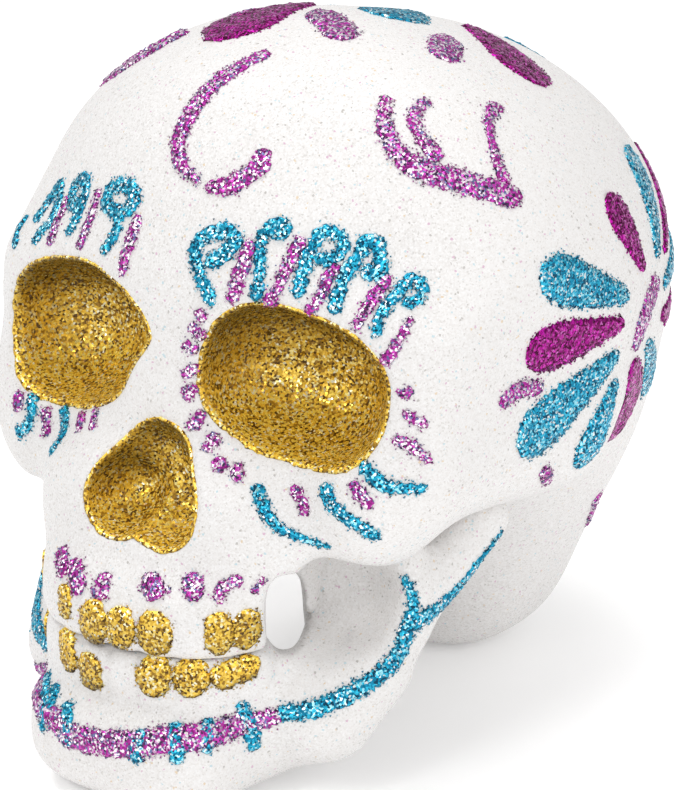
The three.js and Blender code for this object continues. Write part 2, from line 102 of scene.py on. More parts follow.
def egg(p, centre, half, square=2.0):
    share = np.abs(p - np.array(centre)) / np.array(half)
    total = np.sum(share**square, axis=1) + 1e-12
    size = total ** (1 / square)
    slope = share ** (square - 1) * (total ** (1 / square - 1))[:, None] / np.array(half)
    return (size - 1) / np.maximum(np.linalg.norm(slope, axis=1), 1e-9)


def bar(p, start, end, start_radius, end_radius):
    start, end = np.array(start, float), np.array(end, float)
    along = end - start
    share = np.clip((p - start) @ along / (along @ along), 0, 1)
    radius = start_radius + (end_radius - start_radius) * share
    return np.linalg.norm(p - start - share[:, None] * along, axis=1) - radius


def join(a, b, blend):
    overlap = np.maximum(blend - np.abs(a - b), 0) / blend
    return np.minimum(a, b) - overlap * overlap * blend / 4


def carve(a, b, blend):
    return -join(-a, b, blend)


def folded(p):
    return np.column_stack([np.abs(p[:, 0]), p[:, 1], p[:, 2]])


def turn_about_z(angle):
    c, s = math.cos(angle), math.sin(angle)
    return np.array([[c, -s, 0], [s, c, 0], [0, 0, 1]])


def turn_about_y(angle):
    c, s = math.cos(angle), math.sin(angle)
    return np.array([[c, 0, s], [0, 1, 0], [-s, 0, c]])


def turn_about_x(angle):
    c, s = math.cos(angle), math.sin(angle)
    return np.array([[1, 0, 0], [0, c, -s], [0, s, c]])


socket_frame = turn_about_z(socket_turn) @ turn_about_y(socket_droop)
slot_frame = turn_about_z(slot_turn) @ turn_about_x(-slot_dip)


def socket_field(q):
    return egg((q - np.array(socket_centre)) @ socket_frame, *socket_shape)


def right_socket_field(p):
    """The right socket, whose inner corner was cut to a point."""
    return join(socket_field(p * left_to_right), egg(p, *right_corner), blend_of_corner)


def nose_field(p):
    """The upside-down heart of the nose, which sits a little to one side."""
    q = folded(p - nose_aside)
    return join(egg(q, *nose_top), egg(q, *nose_lobe), blend_of_lobes)


def slot_field(q):
    """The open slot behind the teeth, between cheek and jaw."""
    return egg((q - np.array(slot_centre)) @ slot_frame, *slot_shape)


def tooth_row(q, height):
    row = np.full(len(q), far_away)
    for degrees in tooth_angles:
        a = math.radians(degrees)
        centre = (arch_half_width * math.sin(a), arch_middle - arch_half_length * math.cos(a), height)
        facing = math.atan2(arch_half_length * math.sin(a), arch_half_width * math.cos(a))
        local = (q - np.array(centre)) @ turn_about_z(facing)
        row = np.minimum(row, egg(local, *tooth_shape))
    return row


def arch_room(q):
    """The upright oval round the teeth, in which skull and jaw part at the bite."""
    across = q[:, 0] / (arch_half_width + arch_margin)
    along = (q[:, 1] - arch_middle) / (arch_half_length + arch_margin)
    return np.hypot(across, along) * arch_reach - arch_reach


def skull_skin(p):
    """The skull's outside, before teeth and openings."""
    q = folded(p)
    head = join(egg(q, *braincase), egg(q, *forehead), blend_into_crown)
    head = join(head, egg(q, *back_of_head), blend_of_back)
    head = join(head, egg(q, *skull_base), blend_of_bone)
    face = join(egg(q, *mid_face), egg(q, *upper_lip), blend_of_bone)
    face = join(face, egg(q, *upper_gum), blend_of_gum)
    face = join(face, egg(q, *cheekbone), blend_of_bone)
    face = join(face, bar(q, *cheek_arch), blend_of_arch)
    face = join(face, egg(q, *brow), blend_of_brow)
    head = join(head, face, blend_of_bone)
    head = join(head, bar(q, *nose_bridge), blend_of_brow)
    return carve(head, egg(q, *temple_hollow), blend_of_arch)


def skull_field(p):
    q = folded(p)
    below_bite = np.maximum(arch_room(q), q[:, 2] - bite_height - bite_gap)
    skull = carve(skull_skin(p), below_bite, edge_of_bite)
    skull = join(skull, tooth_row(q, upper_tooth_height), blend_of_teeth)
    skull = carve(skull, egg(q, *palate), edge_of_palate)
    sockets = np.where(p[:, 0] > 0, socket_field(q), right_socket_field(p))
    skull = carve(skull, sockets, edge_of_socket)
    skull = carve(skull, nose_field(p), edge_of_nose)
    skull = carve(skull, egg(q, *pocket), edge_of_pocket)
    skull = carve(skull, slot_field(q), edge_of_slot)
    return np.maximum(skull, -q[:, 2])


def slope_of(field, p):
    step = 0.15
    slope = np.empty_like(p)
    for k in range(3):
        shift = np.zeros(3)
        shift[k] = step
        slope[:, k] = (field(p + shift) - field(p - shift)) / (2 * step)
    return slope


def settle(field, p, rounds=3, furthest=1.5):
    """Points drawn onto a field's surface, by no more than a short way in each round."""
    least_slope = 0.05
    for _ in range(rounds):
        slope = slope_of(field, p)
        reach = np.maximum(np.sum(slope * slope, axis=1), least_slope)
        move = field(p) / reach
        p = p - np.clip(move, -furthest, furthest)[:, None] * slope
    return p


def normals_of(field, p):
    slope = slope_of(field, p)
    return slope / np.maximum(np.linalg.norm(slope, axis=1), 1e-9)[:, None]


def grid_values(field, axes, cell):
    """A field on a grid, worked out in full only near its surface."""
    coarse = 4
    near_cells = 7
    counts = [len(a) for a in axes]
    rough_axes = [a[::coarse] for a in axes]
    x, y, z = np.meshgrid(*rough_axes, indexing="ij")
    rough = field(np.column_stack([x.ravel(), y.ravel(), z.ravel()])).reshape(x.shape)
    for k in range(3):
        rough = np.repeat(rough, coarse, axis=k)
    rough = rough[: counts[0], : counts[1], : counts[2]]
    value = rough.copy()
    i, j, k = np.nonzero(np.abs(rough) < near_cells * cell)
    near = np.column_stack([axes[0][i], axes[1][j], axes[2][k]])
    value[i, j, k] = field(near)
    return value


def mould(field, low, high, cell):
    """The closed surface of a field: one point in each grid cell that it crosses, drawn onto it."""
    axes = [np.arange(a, b + cell, cell) for a, b in zip(low, high)]
    value = grid_values(field, axes, cell)
    shape = np.array(value.shape) - 1
    total = np.zeros((*shape, 3))
    hits = np.zeros(shape, int)
    crossings = []
    for k in range(3):
        first = np.take(value, range(value.shape[k] - 1), axis=k)
        last = np.take(value, range(1, value.shape[k]), axis=k)
        spot = np.argwhere((first < 0) != (last < 0))
        near, far = first[tuple(spot.T)], last[tuple(spot.T)]
        place = spot.astype(float)
        place[:, k] += near / (near - far)
        others = [m for m in range(3) if m != k]
        around = []
        for a, b in ((0, 0), (1, 0), (1, 1), (0, 1)):
            step = np.zeros(3, int)
            step[others[0]], step[others[1]] = -a, -b
            around.append(spot + step)
        keep = np.all([(c >= 0).all(axis=1) & (c < shape).all(axis=1) for c in around], axis=0)
        around = [c[keep] for c in around]
        for c in around:
            np.add.at(total, tuple(c.T), place[keep])
            np.add.at(hits, tuple(c.T), 1)
        crossings.append((k, around, near[keep] < 0))
    used = hits > 0
    number = np.full(shape, -1)
    number[used] = np.arange(used.sum())
    points = total[used] / hits[used][:, None] * cell + np.array([a[0] for a in axes])
    faces = []
    for k, around, outward in crossings:
        quad = np.column_stack([number[tuple(c.T)] for c in around])
        flip = outward if k == 1 else ~outward
        quad[flip] = quad[flip][:, ::-1]
        faces.append(quad)
    return settle(field, points, 3, cell), np.concatenate(faces)


def to_frame(p):
    return (p + np.array([0, ahead, 0])) * metres_per_mm


def add_mesh(name, points, faces, finish):
    material, slot = finish
    mesh = bpy.data.meshes.new(name)
    mesh.from_pydata(to_frame(points).tolist(), [], [tuple(f) for f in faces])
    mesh.polygons.foreach_set("use_smooth", [True] * len(mesh.polygons))
    mesh.materials.append(material)
    mesh.update()
    made = bpy.data.objects.new(name, mesh)
    bpy.context.collection.objects.link(made)
    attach(made, "root")
    return made


def add_node(tree, kind, inputs=None, **settings):
    made = tree.nodes.new(kind)
    for key, value in settings.items():
        setattr(made, key, value)
    for key, value in (inputs or {}).items():
        if isinstance(value, bpy.types.NodeSocket):
            tree.links.new(value, made.inputs[key])
        else:
            made.inputs[key].default_value = value
    return made


def build_flakes():
    """Glitter as small flat flakes: three random values for each flake, and the way that it faces."""
    tree = bpy.data.node_groups.new("glitter_flakes", "ShaderNodeTree")
    for name in ("Flakes per Metre", "Tilt"):
        tree.interface.new_socket(name, in_out="INPUT", socket_type="NodeSocketFloat")
    for name in ("Pick", "Shade", "Spark"):
        tree.interface.new_socket(name, in_out="OUTPUT", socket_type="NodeSocketFloat")
    tree.interface.new_socket("Normal", in_out="OUTPUT", socket_type="NodeSocketVector")
    given = add_node(tree, "NodeGroupInput")
    out = add_node(tree, "NodeGroupOutput")
    place = add_node(tree, "ShaderNodeTexCoord")
    cells = add_node(
        tree,
        "ShaderNodeTexVoronoi",
        {"Vector": place.outputs["Object"], "Scale": given.outputs["Flakes per Metre"]},
    )
    chance = add_node(tree, "ShaderNodeSeparateColor", {0: cells.outputs["Color"]})
    centred = add_node(
        tree, "ShaderNodeVectorMath", {0: cells.outputs["Color"], 1: (0.5, 0.5, 0.5)}, operation="SUBTRACT"
    )
    lean = add_node(
        tree,
        "ShaderNodeVectorMath",
        {0: centred.outputs[0], "Scale": given.outputs["Tilt"]},
        operation="SCALE",
    )
    surface = add_node(tree, "ShaderNodeNewGeometry")
    tilted = add_node(
        tree, "ShaderNodeVectorMath", {0: surface.outputs["Normal"], 1: lean.outputs[0]}, operation="ADD"
    )
    facing = add_node(tree, "ShaderNodeVectorMath", {0: tilted.outputs[0]}, operation="NORMALIZE")
    for name, source in zip(("Pick", "Shade", "Spark"), chance.outputs):
        tree.links.new(source, out.inputs[name])
    tree.links.new(facing.outputs[0], out.inputs["Normal"])
    return tree


flakes_group = build_flakes()


def add_flakes(tree, size_mm, tilt):
    made = add_node(tree, "ShaderNodeGroup", node_tree=flakes_group)
    made.inputs["Flakes per Metre"].default_value = 1 / (size_mm * metres_per_mm)
    made.inputs["Tilt"].default_value = tilt
    return made


def add_ramp(tree, value, stops):
    made = add_node(tree, "ShaderNodeValToRGB", {"Fac": value})
    ramp = made.color_ramp
    ramp.interpolation = "CONSTANT"
    while len(ramp.elements) < len(stops):
        ramp.elements.new(0.5)
    for element, (position, colour) in zip(ramp.elements, stops):
        element.position = position
        element.color = (*colour, 1)
    return made.outputs["Color"]


def add_range(tree, value, low, high):
    made = add_node(tree, "ShaderNodeMapRange", {"Value": value, "To Min": low, "To Max": high})
    return made.outputs["Result"]


white_shades = [
    (0, (0.61, 0.59, 0.57)),
    (0.06, (0.69, 0.67, 0.655)),
    (0.35, (0.73, 0.715, 0.705)),
    (0.85, (0.765, 0.755, 0.75)),
]
stray_shades = [
    (0, (0.6, 0.42, 0.52)),
    (0.3, (0.46, 0.44, 0.42)),
    (0.55, (0.48, 0.6, 0.64)),
    (0.8, (0.66, 0.54, 0.4)),
]
stray_above = 0.975
mix_factor, mix_first, mix_second = 0, 6, 7
mix_result = 2


def white_glitter():
    """Fine pale flakes with a few coloured ones astray among them."""
    material = bpy.data.materials.new("white_glitter")
    material.use_nodes = True
    tree = material.node_tree
    shader = tree.nodes["Principled BSDF"]
    fine = add_flakes(tree, size_mm=0.36, tilt=0.3)
    stray = add_flakes(tree, size_mm=0.45, tilt=0.4)
    coat = add_ramp(tree, fine.outputs["Shade"], white_shades)
    strays = add_ramp(tree, stray.outputs["Shade"], stray_shades)
    few = add_node(
        tree, "ShaderNodeMath", {0: stray.outputs["Pick"], 1: stray_above}, operation="GREATER_THAN"
    )
    colour = add_node(
        tree,
        "ShaderNodeMix",
        {mix_factor: few.outputs[0], mix_first: coat, mix_second: strays},
        data_type="RGBA",
    )
    roughness = add_range(tree, fine.outputs["Spark"], low=0.25, high=0.8)
    tree.links.new(colour.outputs[mix_result], shader.inputs["Base Color"])
    tree.links.new(roughness, shader.inputs["Roughness"])
    tree.links.new(fine.outputs["Normal"], shader.inputs["Normal"])
    return material, "white_glitter"


white = white_glitter()
foam_points, foam_faces = mould(skull_field, *skull_room, foam_cell)
skull = add_mesh("skull_moulding", foam_points, foam_faces, white)
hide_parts("skull")

# Jaw moulding. The second piece of foam: chin, lower teeth and two side branches, coated like the skull.
# It is glued to the skull at the bite and at the hinges under the cheek arches.
jaw_room = ((-66, -100, -3), (66, -4, 72))
jaw_cell = foam_cell * 0.9
chin = ((0, -68.5, 13.2), (28, 25.2, 14), 3)
lower_gum = ((0, -60, 32), (29, 26.5, 11), 3)
jaw_side = ((37, -55, 20), (40, -45.5, 29.5), 10.5, 11)
jaw_branch = ((44, -37.5, 41), (52, -16.5, 58.5), 8, 6)
mouth_hollow = ((0, -44, 28), (24, 26, 40), 2.6)
outer_web = ((38, -38, 46), (13, 7, 17), 2.6)
inner_web = ((29, -38, 45), (12, 7, 19), 2.4)
blend_of_chin = 8
blend_of_side = 18
blend_of_branch = 8
blend_of_outer_web = 4
blend_of_inner_web = 6
lower_tooth_height = 32.4


def jaw_field(p):
    q = folded(p)
    jaw = join(egg(q, *chin), egg(q, *lower_gum), blend_of_chin)
    jaw = join(jaw, bar(q, *jaw_side), blend_of_side)
    jaw = join(jaw, bar(q, *jaw_branch), blend_of_branch)
    above_bite = np.maximum(arch_room(q), bite_height - bite_gap - q[:, 2])
    jaw = carve(jaw, above_bite, edge_of_bite)
    jaw = join(jaw, tooth_row(q, lower_tooth_height), blend_of_teeth)
    jaw = carve(jaw, egg(q, *mouth_hollow), edge_of_palate)
    jaw = join(jaw, egg(q, *outer_web), blend_of_outer_web)
    jaw = join(jaw, egg(q, *inner_web), blend_of_inner_web)
    jaw = carve(jaw, egg(q, *pocket), edge_of_pocket)
    jaw = carve(jaw, slot_field(q), edge_of_slot)
    return np.maximum(jaw, -q[:, 2])


jaw_points, jaw_faces = mould(jaw_field, *jaw_room, jaw_cell)
jaw = add_mesh("jaw_moulding", jaw_points, jaw_faces, white)
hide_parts("jaw")

# Gold linings of the eye sockets. Coarse gold glitter in clear glue, brushed over the whole hollow and just
# over its rim, so its edge is ragged.
gold_thickness = 0.5
gold_at_edge = 0.1
gold_root = 0.4
# The palest gold stops are painted glints: near-white flakes stand in for gold flakes catching the light.
gold_tones_and_glints = [
    (0, (0.1, 0.045, 0.002)),
    (0.14, (0.34, 0.18, 0.012)),
    (0.36, (0.77, 0.47, 0.04)),
    (0.6, (0.97, 0.66, 0.1)),
    (0.84, (1, 0.83, 0.32)),
    (0.94, (1, 0.96, 0.7)),
]
# How far a wall faces down or up, from where the painted shade is darkest to where the painted light is
# brightest.
wall_facing_down = -0.45
wall_facing_up = 0.65
lining_sides = 150
lining_rings = 46
rim_depth = 0.4
past_rim = 0.02
rim_waver = 0.012
longest_ray = 45.0
ragged = np.random.default_rng(7)


def add_painted_light_and_shade(tree, colour, painted_light_share):
    """A glitter colour with painted light and shade: brighter on walls that face up and darker on walls that
    face down.
    """
    surface = add_node(tree, "ShaderNodeNewGeometry")
    upward = add_node(tree, "ShaderNodeSeparateXYZ", {0: surface.outputs["Normal"]})
    lit = add_node(
        tree,
        "ShaderNodeMapRange",
        {
            "Value": upward.outputs["Z"],
            "From Min": wall_facing_down,
            "From Max": wall_facing_up,
            "To Min": 1 - painted_light_share,
            "To Max": 1 + painted_light_share / 2,
        },
    )
    lit_and_shaded = add_node(
        tree, "ShaderNodeVectorMath", {0: colour, "Scale": lit.outputs["Result"]}, operation="SCALE"
    )
    return lit_and_shaded.outputs[0]


def glitter_glue(name, shades, metallic, size_mm, tilt, painted_light_share=0):
    """Flakes of several shades in clear glue; optionally with painted light on walls that face up and painted
    shade on walls that face down.
    """
    material = bpy.data.materials.new(name)
    material.use_nodes = True
    tree = material.node_tree
    shader = tree.nodes["Principled BSDF"]
    flakes = add_flakes(tree, size_mm, tilt)
    colour = add_ramp(tree, flakes.outputs["Shade"], shades)
    if painted_light_share:
        colour = add_painted_light_and_shade(tree, colour, painted_light_share)
    roughness = add_range(tree, flakes.outputs["Spark"], low=0.14, high=0.42)
    tree.links.new(colour, shader.inputs["Base Color"])
    tree.links.new(roughness, shader.inputs["Roughness"])
    tree.links.new(flakes.outputs["Normal"], shader.inputs["Normal"])
    shader.inputs["Metallic"].default_value = metallic
    return material, name


def wavering(count, size, smooth):
    """Random values along an edge that close on themselves, smoothed over a few neighbours."""
    raw = ragged.normal(0, 1, count)
    kernel = np.ones(smooth) / smooth
    loop = np.convolve(np.concatenate([raw, raw, raw]), kernel, "same")[count : 2 * count]
    return loop / max(np.std(loop), 1e-6) * size


def wall_points(hollow, middle, hollow_frame, tilts, turn):
    """Where rays from the middle of a hollow meet its wall."""
    sideways, inward = np.sin(tilts), np.cos(tilts)
    rays = np.column_stack([sideways * math.cos(turn), inward, sideways * math.sin(turn)]) @ hollow_frame.T
    near, far = np.zeros(len(tilts)), np.full(len(tilts), longest_ray)
    for _ in range(26):
        half = (near + far) / 2
        within = hollow(middle + rays * half[:, None]) < 0
        near = np.where(within, half, near)
        far = np.where(within, far, half)
    return middle + rays * near[:, None]


def lining_mesh(hollow, middle, hollow_frame):
    """A cup that follows a hollow of the skull from its deepest point to a little past its rim."""
    around, rings = lining_sides, lining_rings
    turns = np.arange(around) / around * 2 * math.pi
    tilts = np.radians(np.linspace(20, 130, 111))
    tilt_at_rim = np.empty(around)
    for i, turn in enumerate(turns):
        outside = skull_skin(wall_points(hollow, middle, hollow_frame, tilts, turn)) > -rim_depth
        tilt_at_rim[i] = tilts[np.argmax(outside)] if outside.any() else tilts[-1]
    edge = wavering(around, rim_waver, 2) + wavering(around, rim_waver, 9)
    points = [wall_points(hollow, middle, hollow_frame, np.zeros(1), 0)[0]]
    for ring in range(1, rings + 1):
        share = ring / rings
        for i, turn in enumerate(turns):
            tilt = np.array([share * (tilt_at_rim[i] + past_rim + edge[i])])
            points.append(wall_points(hollow, middle, hollow_frame, tilt, turn)[0])
    top = settle(skull_field, np.array(points), 6)
    normal = normals_of(skull_field, top)
    lift = np.full(len(top), gold_thickness)
    lift[-around:] = gold_at_edge
    outer = top + normal * lift[:, None]
    inner = top - normal * gold_root
    count = len(outer)
    faces = []
    for i in range(around):
        after = (i + 1) % around
        faces.append((0, 1 + after, 1 + i))
        faces.append((count, count + 1 + i, count + 1 + after))
        for ring in range(rings - 1):
            a, b = 1 + ring * around + i, 1 + ring * around + after
            faces.append((a, b, b + around, a + around))
            faces.append((count + b, count + a, count + a + around, count + b + around))
        a, b = 1 + (rings - 1) * around + i, 1 + (rings - 1) * around + after
        faces.append((a, b, count + b, count + a))
    return np.concatenate([outer, inner]), faces


# The gold gets painted shade on walls that face down and painted light on walls that face up.
gold = glitter_glue("gold_glitter", gold_tones_and_glints, metallic=0.5, size_mm=0.5, tilt=0.6, painted_light_share=0.62)
left_middle = np.array(socket_centre)
right_middle = left_middle * left_to_right
right_frame = socket_frame * np.outer(left_to_right, left_to_right)
socket_linings = {
    "left": lining_mesh(socket_field, left_middle, socket_frame),
    "right": lining_mesh(right_socket_field, right_middle, right_frame),
}
for side, shape in socket_linings.items():
    lining = add_mesh("socket_gold_" + side, *shape, gold)
    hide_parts("socket_lining_" + side)

# Gold lining of the nose. The same gold glitter glue, brushed into the upside-down heart of the nose opening
# and just over its edge.
nose_middle = np.array([0, -78, 73.0]) + nose_aside
lining = add_mesh("nose_gold", *lining_mesh(nose_field, nose_middle, np.eye(3)), gold)
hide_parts("nose_lining")

# Gold on the teeth. Dabs of the same gold glitter glue, squeezed from a bottle onto teeth of both rows, each
# a raised bead with a ragged edge. A dab lies where the photo shows it, in pixels. Those on the right, which
# the photo hides, are placed on the left and mirrored.
camera_turn = math.radians(35.8)
camera_rise = math.radians(19.3)
camera_distance = 1000
camera_target = np.array([0, 0, 85.0])
image_middle = np.array([339.2, 342.4])
focal_pixels = 4260
camera_back = np.array(
    [
        math.sin(camera_turn) * math.cos(camera_rise),
        -math.cos(camera_turn) * math.cos(camera_rise),
        math.sin(camera_rise),
    ]
)
camera_right = np.array([math.cos(camera_turn), math.sin(camera_turn), 0])
camera_up = np.cross(camera_back, camera_right)
share_before_skull = 0.75
touching = 0.05
careful_step = 0.7
longest_step = 60
steps_in_span = 14
bead_step = 0.55
bead_columns = 9
bead_height = 0.62
bead_root = 0.5
bead_end = 0.12
bead_side = 0.9
half_at_full_height = 1.1
least_half = 0.15
ragged_edge = 0.28
grain_height = 0.1
flakes_per_mm = 4
flake_radius = 0.27
flake_sizes = (0.7, 1.3)
flake_lifts = (0.05, 0.35)
flakes_past_edge = 0.1
flakes_spread = 0.42
bead_grain = np.random.default_rng(11)


def seen_at(pixels):
    """Rays from the camera through pixels of the photo."""
    offset = (pixels - image_middle) / focal_pixels
    ray = offset[:, :1] * camera_right - offset[:, 1:] * camera_up - camera_back
    ray /= np.linalg.norm(ray, axis=1)[:, None]
    start = camera_target + camera_back * camera_distance + ray * camera_distance * share_before_skull
    return start, ray


def cast(field, start, ray):
    """Where rays from outside first meet a field or, if they miss it, pass closest to it."""
    nearest = start.copy()
    least = np.full(len(start), far_away)
    reach = np.zeros(len(start))
    for _ in range(80):
        place = start + ray * reach[:, None]
        gap = field(place)
        closer = gap < least
        nearest[closer] = place[closer]
        least = np.minimum(least, gap)
        step = np.clip(gap * careful_step, touching, longest_step)
        reach = reach + np.where(least < touching, 0, step)
    return settle(field, nearest, 4)


def smooth_path(path):
    """A smooth line through a few points, and how far along the list of points each place on it is."""
    points = np.array(path, float)
    guide = np.vstack([2 * points[0] - points[1], points, 2 * points[-1] - points[-2]])
    spans = len(points) - 1
    along = np.linspace(0, spans, spans * steps_in_span + 1)
    span = np.minimum(along.astype(int), spans - 1)
    t = (along - span)[:, None]
    a, b, c, d = (guide[span + k] for k in range(4))
    line = b + 0.5 * t * (c - a + t * (2 * a - 5 * b + 4 * c - d + t * (3 * (b - c) + d - a)))
    return line, along / spans


def bead(field, rays, path, halves):
    """A raised bead of glitter glue on a field: its half widths are spread evenly along its path."""
    line, share = smooth_path(path)
    line = cast(field, *rays(line))
    gone = np.concatenate([[0], np.cumsum(np.linalg.norm(np.diff(line, axis=0), axis=1))])
    steps = max(6, int(gone[-1] / bead_step))
    even = np.linspace(0, gone[-1], steps + 1)
    line = settle(field, np.column_stack([np.interp(even, gone, line[:, k]) for k in range(3)]), 2)
    half = np.interp(np.interp(even, gone, share), np.linspace(0, 1, len(halves)), halves)
    from_end = np.minimum(even, gone[-1] - even) / half
    half = half * np.sqrt(np.clip(1 - np.clip(1 - from_end, 0, 1) ** 2, bead_end, 1))
    along = np.gradient(line, axis=0)
    side = np.cross(along, normals_of(field, line))
    side /= np.maximum(np.linalg.norm(side, axis=1), 1e-9)[:, None]
    across = np.linspace(-1, 1, bead_columns)
    edge = bead_grain.normal(0, ragged_edge, (2, steps + 1))
    ragged_half = np.where(across < 0, (half + edge[0])[:, None], (half + edge[1])[:, None])
    offset = np.maximum(ragged_half, least_half) * across
    flat = (line[:, None] + side[:, None] * offset[:, :, None]).reshape(-1, 3)
    flat = settle(field, flat, 3)
    out = normals_of(field, flat)
    dome = bead_height * np.sqrt(1 - bead_side * across**6)
    rise = np.minimum(half / half_at_full_height, 1)[:, None] * dome
    height = (rise + bead_grain.normal(0, grain_height, offset.shape)).ravel()
    points = np.concatenate([flat + out * height[:, None], flat - out * bead_root])
    faces = [tuple(f) for f in bead_faces(steps + 1, len(across))]
    loose_points, loose_faces = loose_flakes(field, line, side, half, int(gone[-1] * flakes_per_mm))
    faces += [tuple(f) for f in loose_faces + len(points)]
    return np.concatenate([points, loose_points]), faces


def loose_flakes(field, line, side, half, count):
    """Single flakes strewn along both edges of a bead: a small leaning facet with its root in the foam."""
    at = bead_grain.integers(0, len(line), count)
    beyond = half[at] + bead_grain.normal(flakes_past_edge, flakes_spread, count)
    beyond *= bead_grain.choice([-1, 1], count)
    along = np.gradient(line, axis=0)[at] * bead_grain.uniform(-0.5, 0.5, count)[:, None]
    root = settle(field, line[at] + side[at] * beyond[:, None] + along, 3)
    out = normals_of(field, root)
    off_normal = np.roll(out, 1, axis=1) + np.array([0.3, 0.1, 0.2])
    first = np.cross(out, off_normal)
    first /= np.linalg.norm(first, axis=1)[:, None]
    second = np.cross(out, first)
    turn = bead_grain.uniform(0, 2 * math.pi, count)
    corners = []
    for k in range(3):
        angle = turn + k * 2 * math.pi / 3
        reach = flake_radius * bead_grain.uniform(*flake_sizes, count)
        spread = first * np.cos(angle)[:, None] + second * np.sin(angle)[:, None]
        lift = bead_grain.uniform(*flake_lifts, count)
        corners.append(root + spread * reach[:, None] + out * lift[:, None])
    points = np.concatenate([*corners, root - out * bead_root / 2])
    a, b, c, d = (np.arange(count) + k * count for k in range(4))
    faces = [np.column_stack(f) for f in ((a, b, c), (b, a, d), (c, b, d), (a, c, d))]
    return points, np.concatenate(faces)


def bead_faces(rows, columns):
    """Faces that close a grid of points and the same grid beneath it."""
    top = np.arange(rows * columns).reshape(rows, columns)
    under = top + rows * columns

    def quads(a, b, c, d):
        return np.column_stack([a.ravel(), b.ravel(), c.ravel(), d.ravel()])

    return np.concatenate(
        [
            quads(top[:-1, :-1], top[:-1, 1:], top[1:, 1:], top[1:, :-1]),
            quads(under[:-1, :-1], under[1:, :-1], under[1:, 1:], under[:-1, 1:]),
            quads(top[:-1, 0], top[1:, 0], under[1:, 0], under[:-1, 0]),
            quads(top[1:, -1], top[:-1, -1], under[:-1, -1], under[1:, -1]),
            quads(top[0, :-1], under[0, :-1], under[0, 1:], top[0, 1:]),
            quads(top[-1, 1:], under[-1, 1:], under[-1, :-1], top[-1, :-1]),
        ]
    )


def paint(name, field, rays, strokes, finish, node=None, mirror=False):
    """Beads of one colour that make up one piece, and the node that the piece stands for."""
    points, faces, count = [], [], 0
    for path, halves in strokes:
        more_points, more_faces = bead(field, rays, path, halves)
        points.append(more_points)
        faces += [tuple(k + count for k in face) for face in more_faces]
        count += len(more_points)
    points = np.concatenate(points)
    if mirror:
        points = points * left_to_right
        faces = [face[::-1] for face in faces]
    piece = add_mesh(name, points, faces, finish)
    if node:
        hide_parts(node)


upper_left_dabs = [([(220, 612), (219, 654)], (3.3, 3.3)), ([(249, 609), (246, 648)], (3.6, 3.6))]
upper_right_dabs = upper_left_dabs[1:]
upper_front_dabs = [
    ([(92, 600), (90, 644)], (4.2, 4.4)),
    ([(119, 607), (119, 647)], (4, 4)),
    ([(154, 611), (153, 653)], (4.4, 4.4)),
]
lower_front_dabs = [([(64, 629), (70, 671)], (3, 3.6)), ([(87, 652), (90, 688)], (4, 4))]
lower_left_dabs = [
    ([(155, 655), (152, 696)], (4.1, 4.1)),
    ([(190, 658), (191, 697)], (4.5, 4.5)),
    ([(211, 680), (234, 672), (259, 660)], (3.2, 3.4, 3)),
]
lower_right_dabs = [([(224, 678), (242, 676), (259, 669)], (3.2, 3.4, 3))]
far_dab = [([(64, 584), (65, 618)], (2.2, 2.2))]
paint("gold_upper_front", skull_field, seen_at, upper_front_dabs, gold, "tooth_gold_upper_front")
paint("gold_upper_left", skull_field, seen_at, upper_left_dabs, gold, "tooth_gold_upper_left")
paint("gold_upper_right", skull_field, seen_at, upper_right_dabs, gold, "tooth_gold_upper_right", mirror=True)
paint("gold_upper_small", skull_field, seen_at, far_dab, gold)
paint("gold_lower_front", jaw_field, seen_at, lower_front_dabs, gold, "tooth_gold_lower_front")
paint("gold_lower_left", jaw_field, seen_at, lower_left_dabs, gold, "tooth_gold_lower_left")
paint("gold_lower_right", jaw_field, seen_at, lower_right_dabs, gold, "tooth_gold_lower_right", mirror=True)

# Lashes. Turquoise glitter glue drawn freehand over each socket: a stem from the socket's rim and a loop at
# its top. The skull's right side has one lash fewer.
# The palest turquoise stop is a painted glint: near-white flakes stand in for turquoise flakes catching the
# light.
turquoise_tones_and_glints = [
    (0, (0, 0.05, 0.1)),
    (0.2, (0, 0.2, 0.35)),
    (0.5, (0.02, 0.42, 0.62)),
    (0.77, (0.35, 0.82, 0.95)),
    (0.92, (0.95, 1, 1)),
]
turquoise = glitter_glue("turquoise_glitter", turquoise_tones_and_glints, metallic=0.7, size_mm=0.48, tilt=0.9)
left_loop_1 = [(213, 306), (202, 280), (196, 261), (198, 243), (211, 233)]
left_loop_1 += [(230, 232), (234, 242), (223, 255), (205, 265)]
left_head_2 = [(277, 218), (279, 229), (280, 240)]
left_stem_2 = [(277, 222), (266, 231), (261, 244), (259, 256), (260, 271), (255, 301)]
left_loop_3 = [(296, 298), (303, 273), (309, 253), (321, 235), (334, 232)]
left_loop_3 += [(344, 242), (339, 255), (326, 260), (313, 256)]
left_loop_4 = [(333, 314), (339, 293), (347, 271), (359, 255), (367, 240)]
left_loop_4 += [(377, 245), (381, 260), (377, 273), (361, 271)]
left_loop_5 = [(376, 338), (379, 319), (389, 303), (401, 290), (412, 278)]
left_loop_5 += [(422, 286), (419, 300), (402, 305)]
right_loop_1 = [(101, 254), (115, 233), (120, 215), (107, 204), (113, 187)]
right_loop_1 += [(130, 187), (134, 202), (122, 214)]
right_loop_2 = [(67, 235), (76, 219), (84, 198), (86, 179), (76, 185), (72, 204), (80, 206)]
right_loop_3 = [(34, 244), (40, 233), (55, 214), (60, 185), (46, 206), (34, 222)]
right_stem_4 = [(15, 248), (18, 231), (28, 215)]
